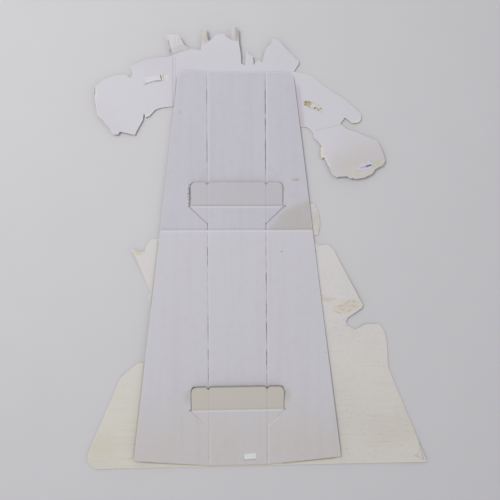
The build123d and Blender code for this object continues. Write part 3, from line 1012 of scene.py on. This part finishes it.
def torn_tape_finish(place):
    """Tape with most of its face torn away: brown at its left end and rim, pale inside, and specked."""
    along, across, _ = split(local(place, *torn_tape_place, torn_tape_turn))
    patch = noise(place, 170.0, 3.0, 0.6)
    fibre = noise(place, 520.0, 4.0, 0.7)
    loose = along + (patch - 0.5) * 0.030
    rim = ease(abs(across) + (patch - 0.5) * 0.010, 0.0050, 0.0085)
    left_end = ease(along + (fibre - 0.5) * 0.016, -0.024, -0.034)
    right_end = ease(along + (fibre - 0.5) * 0.012, 0.022, 0.030)
    left = ease(loose, -0.008, -0.020)
    flecks = ease(noise(place, 330.0, 3.0, 0.6), 0.46, 0.56)
    brown = mix(torn_brown, torn_tan, ease(fibre, 0.35, 0.65))
    inside = mix(torn_cream, torn_white, ease(loose, -0.014, -0.004))
    kept = rim * (0.40 + 0.4 * left) + left_end * 0.7 + left * flecks * 0.6
    colour = mix(inside, brown, ease(kept, 0.25, 0.75))
    colour = mix(colour, torn_green, right_end * 0.9)
    specks = speckle(place, 260.0, 0.68) * 0.5
    for spot_across, spot_up, size in torn_specks:
        specks = specks + blot(place, spot_across, spot_up, size, 0.7 * size, 0.3, 0.3)
    colour = mix(colour, torn_speck, ease(specks, 0.0, 1.0) * 0.85)
    bare = 1 - rim
    return colour, 0.45 + 0.4 * bare, bare * 0.6 + fibre * 0.3


def hand_label_finish(place):
    """White sticker, streaked along its length, with one short dark dash that fades to the left."""
    near = local(place, *hand_label_place, hand_label_turn)
    along, across, _ = split(near)
    fibre = noise(place, 600.0, 3.0)
    streak = noise(stretched(near, 40.0, 260.0), 1.0, 2.0)
    line = ease(abs(across + 0.002 - (along - 0.014) * 0.03), 0.0042, 0.0026)
    dash = line * between(along, 0.006, 0.024, 0.004)
    tail = line * between(along, -0.018, 0.006, 0.006)
    colour = mix(sticker_white, sticker_streak, ease(streak, 0.38, 0.66))
    colour = mix(colour, ink_pale, tail * 0.55)
    colour = mix(colour, ink_dark, dash * 0.9)
    return colour, 0.42 + 0.2 * fibre, fibre * 0.2


def base_label_finish(place):
    """Small bare white sticker, a little scuffed, with painted shade along its lower edge and its left
    end.
    """
    along, across, _ = split(local(place, *base_label_place, base_label_turn))
    fibre = noise(place, 600.0, 3.0)
    scuff = ease(noise(stretched(place, 60.0, 240.0), 1.0, 3.0), 0.55, 0.75)
    darker_zone = ease(across + (fibre - 0.5) * 0.003, -0.0075, -0.0100) + ease(along, -0.0220, -0.0250)
    colour = mix(base_white, base_scuff, scuff * 0.5)
    colour = mix(colour, base_shade, ease(darker_zone, 0.0, 1.0) * 0.75)
    return colour, 0.45 + 0.25 * fibre, fibre * 0.2 + scuff * 0.2


# Pieces

liner_relief = 0.0010
facing_relief = 0.0006
cut_edge_relief = 0.0003
card_relief = 0.0002
white_tape_relief = 0.0004
torn_tape_relief = 0.0006
tape_paper = 0.0002
label_paper = 0.00015
paper_gap = 0.0001


def add_piece(piece, node, materials):
    """Shows a piece in the place of a node, on the one body, with its materials."""
    bpy.context.scene.collection.objects.link(piece)
    for material in materials:
        piece.data.materials.append(material)
    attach(piece, "root")
    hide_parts(node)


def sheets():
    """The facing, the board and the easel, bent a little as handled card is."""
    tip_cuts = (
        cuts(foot_x - 0.284, foot_x + 0.017, tip_pitch),
        cuts(foot_y + 1.670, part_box("face_sheet")[1].y, tip_pitch),
    )
    facing_bend = raised(facing_rise)
    facing = bent_copy("face_sheet", "facing_sheet", face_thickness, facing_pitch, facing_bend, tip_cuts)
    facing_card = finished("facing_card", facing_finish, facing_relief)
    card_edge = finished("card_edge", card_edge_finish, card_relief)
    add_piece(facing, "face_sheet", [facing_card, card_edge])

    board = bent_copy("backing_board", "die_cut_board", board_thickness, grid_pitch, raised(board_rise))
    white_liner = finished("white_liner", board_finish, liner_relief)
    board_cut = cut_edge_finish(1, board_flute_pitch, paper_white)
    board_edge = finished("board_edge", board_cut, cut_edge_relief)
    add_piece(board, "backing_board", [white_liner, board_edge])

    easel = bent_copy("easel", "folded_easel", easel_thickness, grid_pitch, easel_bend)
    grey_liner = finished("grey_liner", easel_finish, liner_relief)
    easel_cut = cut_edge_finish(0, easel_flute_pitch, easel_pale_and_lit)
    easel_edge = finished("easel_edge", easel_cut, cut_edge_relief)
    add_piece(easel, "easel", [grey_liner, easel_edge])


def white_tape():
    """A strip of paper tape with torn ends: its lower edge stands off, and its right end curls.

    Its ends wave as a sum of two sines, and its lower edge draws in by a product of smooth steps. Smooth
    steps also lift the lower edge and the right end, and a fine sine crinkles the strip.
    """

    def outline(along, across):
        end = 0.0025 * np.sin(7 * across + 2.0 * along) + 0.0015 * np.sin(19 * across)
        drawn_in = smoothed(along, -0.9, -0.1) * (1 - 0.5 * smoothed(along, -0.1, 1.0))
        lower_curve = drawn_in * (across < 0)
        return end * np.abs(along) ** 6, 0.0004 * np.sin(9 * along) - 0.0055 * lower_curve

    def height(along, across):
        lower = smoothed(-across, 0.2, 1.0) * (0.0012 + 0.0008 * np.sin(4 * along))
        right_end = 0.0035 * smoothed(along, 0.72, 1.0) * smoothed(across, -0.6, 0.6)
        crinkle = 0.00015 * (1 + np.sin(38 * along + 3 * across))
        return paper_gap + lower + right_end + crinkle

    x, y, z = laid_strip(white_tape_place, white_tape_turn, 0.074, 0.025, outline, height)
    piece = grid_mesh("paper_tape_patch", x, y, board_back + board_rise(x, y) + z, tape_paper)
    material = finished("white_tape", white_tape_finish, white_tape_relief)
    add_piece(piece, "white_tape", [material])


def torn_tape():
    """A torn remnant of tape: ragged sides and ends, with flakes that stand off the board.

    Sides and ends wave as sums of two sines, and the sides draw in as a square of the distance along.
    Flakes rise where a product of two sines is above 0, and the rim as a fourth power of the distance
    across.
    """

    def outline(along, across):
        end = 0.004 * np.sin(5 * across + 1.0) + 0.002 * np.sin(17 * across)
        side = 0.0016 * np.sin(11 * along + 2 * across) + 0.0014 * np.sin(29 * along)
        side = side - 0.003 * along ** 2
        return end * np.abs(along) ** 4, side * np.abs(across) ** 3

    def height(along, across):
        flake = np.maximum(np.sin(13 * along + 2.5 * across) * np.sin(5 * across + 6 * along), 0)
        return paper_gap + 0.0009 * flake + 0.0006 * np.abs(across) ** 4

    x, y, z = laid_strip(torn_tape_place, torn_tape_turn, 0.078, 0.023, outline, height, 90, 30)
    piece = grid_mesh("torn_tape_strip", x, y, board_back + board_rise(x, y) + z, tape_paper)
    material = finished("torn_tape", torn_tape_finish, torn_tape_relief)
    add_piece(piece, "torn_tape", [material])


def rounded_outline(width, radius, ragged=0.0):
    """An outline function for a rectangle: near the two sides each end draws in as a circle does.

    A ragged outline also waves, as a sum of two sines along each edge.
    """

    def outline(along, across):
        past = np.maximum(np.abs(across) * width / 2 - (width / 2 - radius), 0)
        inset = radius - np.sqrt(np.maximum(radius ** 2 - past ** 2, 0))
        end_wave = np.sin(9 * across) + 0.6 * np.sin(23 * across + along)
        side_wave = np.sin(11 * along + across) + 0.6 * np.sin(27 * along)
        end = ragged * end_wave * np.abs(along) ** 6 - inset * np.abs(along)
        return end, ragged * side_wave * np.abs(across) ** 6

    return outline


def stickers():
    """Two paper stickers with round corners, some of which curl up by a smooth step towards the corner."""
    width = 0.027
    corner_radius = 0.003
    columns, rows = 48, 24

    def hand_height(along, across):
        right_curl = 0.0012 * smoothed(along + across, 1.1, 2.0)
        left_curl = 0.0004 * smoothed(-along - across, 1.2, 2.0)
        return paper_gap + right_curl + left_curl

    def base_height(along, across):
        return paper_gap + 0.0008 * smoothed(along - across, 1.2, 2.0)

    hand = rounded_outline(width, corner_radius)
    strip = (hand_label_place, hand_label_turn, 0.068, width, hand, hand_height, columns, rows)
    x, y, z = laid_strip(*strip)
    piece = grid_mesh("hand_sticker", x, y, board_back + board_rise(x, y) + z, label_paper)
    material = finished("hand_label", hand_label_finish, card_relief)
    add_piece(piece, "hand_label", [material])

    base = rounded_outline(width, corner_radius, 0.0014)
    strip = (base_label_place, base_label_turn, 0.052, width, base, base_height, columns, rows)
    x, y, z = laid_strip(*strip)
    piece = grid_mesh("base_sticker", x, y, board_back + easel_thickness + z, label_paper)
    material = finished("base_label", base_label_finish, card_relief)
    add_piece(piece, "base_label", [material])


# Stage, light and camera

floor_half = 30.0
floor_colour = tone(200, 199, 201)
floor_mottle = tone(197, 196, 198)
floor_relief = 0.0001
lamp_place = (-2.0, 1.4, 3.8)
lamp_size = 1.4
lamp_power = 84
lamp_colour = (1.0, 0.99, 0.98)
surround_colour = (0.97, 0.97, 1.0, 1.0)
surround_strength = 0.65
view_distance = 2.466
view_yaw = math.radians(2.6)
view_roll = math.radians(0.33)
view_spot = (0.054, 0.886)
lens_share = 600 / 500


def floor_finish(place):
    """Plain pale floor with a very faint mottle."""
    mottle = noise(place, 6.0, 3.0)
    colour = mix(floor_colour, floor_mottle, mottle)
    return colour, 0.85 + 0.05 * mottle, mottle


def stage():
    """A flat pale floor under the stand."""
    corners = np.array([(-1, -1, 0), (1, -1, 0), (1, 1, 0), (-1, 1, 0)]) * floor_half
    mesh = bpy.data.meshes.new("floor")
    mesh.from_pydata(corners.tolist(), [], [(0, 1, 2, 3)])
    floor = bpy.data.objects.new("floor", mesh)
    bpy.context.scene.collection.objects.link(floor)
    mesh.materials.append(finished("pale_floor", floor_finish, floor_relief))


def area_light(name, place, size, power, colour):
    """A square soft lamp that faces the middle of the stand."""
    lamp = bpy.data.lights.new(name, "AREA")
    lamp.size = size
    lamp.energy = power
    lamp.color = colour
    holder = bpy.data.objects.new(name, lamp)
    holder.location = place
    holder.rotation_mode = "QUATERNION"
    holder.rotation_quaternion = (-Vector(place)).to_track_quat("-Z", "Y")
    bpy.context.scene.collection.objects.link(holder)


def lights():
    """Soft light: a pale surround, and one broad lamp high on the left, towards the head."""
    world = bpy.data.worlds.new("surround")
    world.use_nodes = True
    surround = world.node_tree.nodes["Background"]
    surround.inputs["Color"].default_value = surround_colour
    surround.inputs["Strength"].default_value = surround_strength
    bpy.context.scene.world = world
    area_light("left_lamp", lamp_place, lamp_size, lamp_power, lamp_colour)


def camera():
    """The photograph's camera: nearly square to the sheets, a little to the left, and barely turned."""
    forward = Vector((math.sin(view_yaw), 0, -math.cos(view_yaw)))
    level = Vector((math.cos(view_yaw), 0, math.sin(view_yaw)))
    right = level * math.cos(view_roll) - Vector((0, 1, 0)) * math.sin(view_roll)
    upward = level * math.sin(view_roll) + Vector((0, 1, 0)) * math.cos(view_roll)
    target = Vector((*spot(*view_spot), board_back))
    lens = bpy.data.cameras.new("camera")
    lens.sensor_width = 36
    lens.lens = lens.sensor_width * lens_share
    holder = bpy.data.objects.new("camera", lens)
    axes = Matrix((right, upward, -forward)).transposed()
    holder.matrix_world = Matrix.Translation(target - forward * view_distance) @ axes.to_4x4()
    bpy.context.scene.collection.objects.link(holder)
    bpy.context.scene.camera = holder


bpy.context.scene.view_settings.view_transform = "Standard"
sheets()
white_tape()
torn_tape()
stickers()
stage()
lights()
camera()
